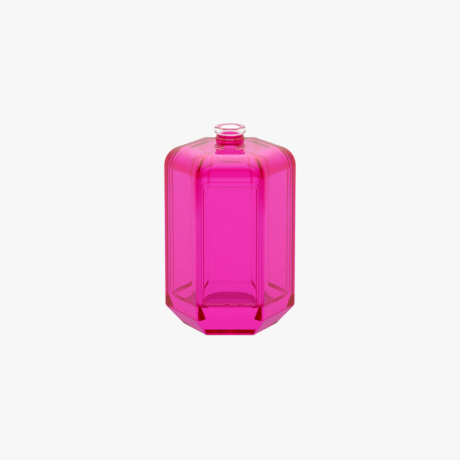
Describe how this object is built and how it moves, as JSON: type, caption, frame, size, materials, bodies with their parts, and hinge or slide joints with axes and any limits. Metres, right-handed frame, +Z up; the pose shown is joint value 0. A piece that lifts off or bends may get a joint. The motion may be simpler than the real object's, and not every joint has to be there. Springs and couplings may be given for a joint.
{
  "type": "perfume bottle",
  "caption": "Open glass perfume flacon, hexagonal, with chamfered heavy base, rounded shoulder, front label panel, crimp neck and a sprayed translucent magenta lacquer coat.",
  "frame": {"origin": "centre of the standing face", "axes": "+Z up through the neck, -Y out of the front facet that has the label panel, X through two of the upright edges"},
  "size_m": [0.0642, 0.056, 0.1],
  "materials": {
    "flint_glass": "polished clear flint glass",
    "magenta_lacquer": "glossy translucent sprayed lacquer"
  },
  "bodies": {
    "root": {"glass_bottle": "flint_glass", "lacquer_coat": "magenta_lacquer"}
  },
  "joints": []
}
